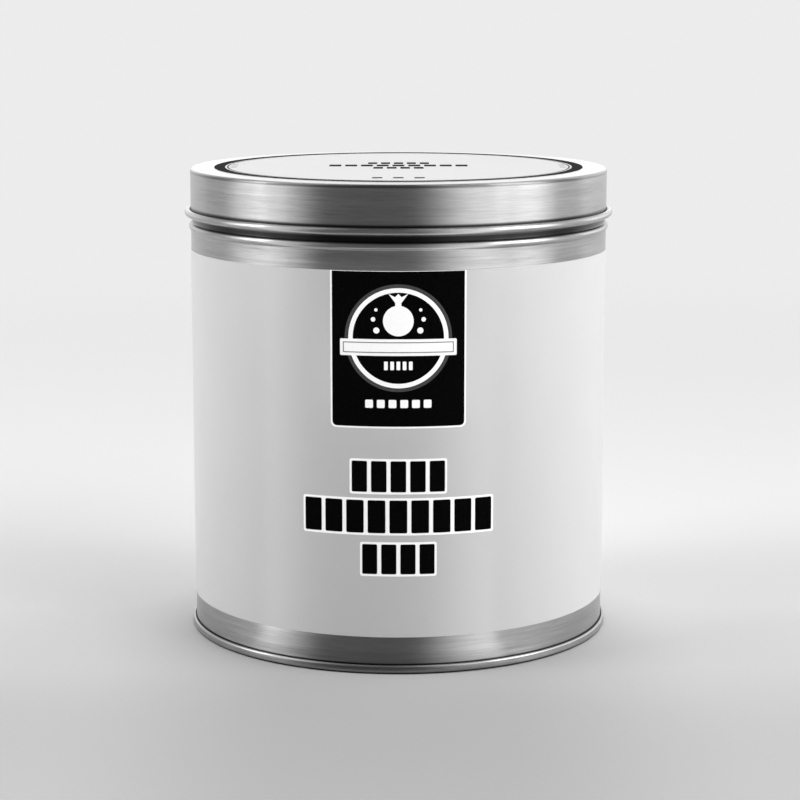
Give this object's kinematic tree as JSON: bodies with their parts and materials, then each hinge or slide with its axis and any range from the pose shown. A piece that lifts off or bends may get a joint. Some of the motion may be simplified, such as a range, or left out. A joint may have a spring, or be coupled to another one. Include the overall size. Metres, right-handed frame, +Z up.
{
  "type": "chalk tin",
  "caption": "Round slip-lid tinplate tin with a paper wrap label, holding gathered cotton balls of gymnast's chalk; the lid lifts off and the balls lift inside it.",
  "frame": {"origin": "centre of the foot, on the surface the tin stands on", "axes": "+Z up along the tin's axis, -Y towards the front of the label, +X to the right as seen from the front"},
  "size_m": [0.1112, 0.1112, 0.1208],
  "materials": {
    "tinplate": "satin",
    "sealing_compound": "matte",
    "label_paper": "satin",
    "cotton": "matte",
    "chalk": "matte",
    "elastic": "matte"
  },
  "bodies": {
    "tin": {"body_shell": "tinplate", "bottom_end": "tinplate", "seam_compound": "sealing_compound", "wrap_label": "label_paper"},
    "lid": {"lid_cap": "tinplate", "lid_label": "label_paper"},
    "ball_1": {"chalk_sack_1": "cotton", "chalk_fill_1": "chalk", "neck_band_1": "elastic"},
    "ball_2": {"chalk_sack_2": "cotton", "chalk_fill_2": "chalk", "neck_band_2": "elastic"},
    "ball_3": {"chalk_sack_3": "cotton", "chalk_fill_3": "chalk", "neck_band_3": "elastic"}
  },
  "joints": [
    {"name": "lid_lift", "type": "slide", "parent": "tin", "child": "lid", "axis": [0, 0, 1], "range_m": [0, 0.08]},
    {"name": "ball_1_lift", "type": "slide", "parent": "tin", "child": "ball_1", "axis": [0, 0, 1], "range_m": [0, 0.045]},
    {"name": "ball_2_lift", "type": "slide", "parent": "tin", "child": "ball_2", "axis": [0, 0, 1], "range_m": [0, 0.045]},
    {"name": "ball_3_lift", "type": "slide", "parent": "tin", "child": "ball_3", "axis": [0, 0, 1], "range_m": [0, 0.045]}
  ]
}
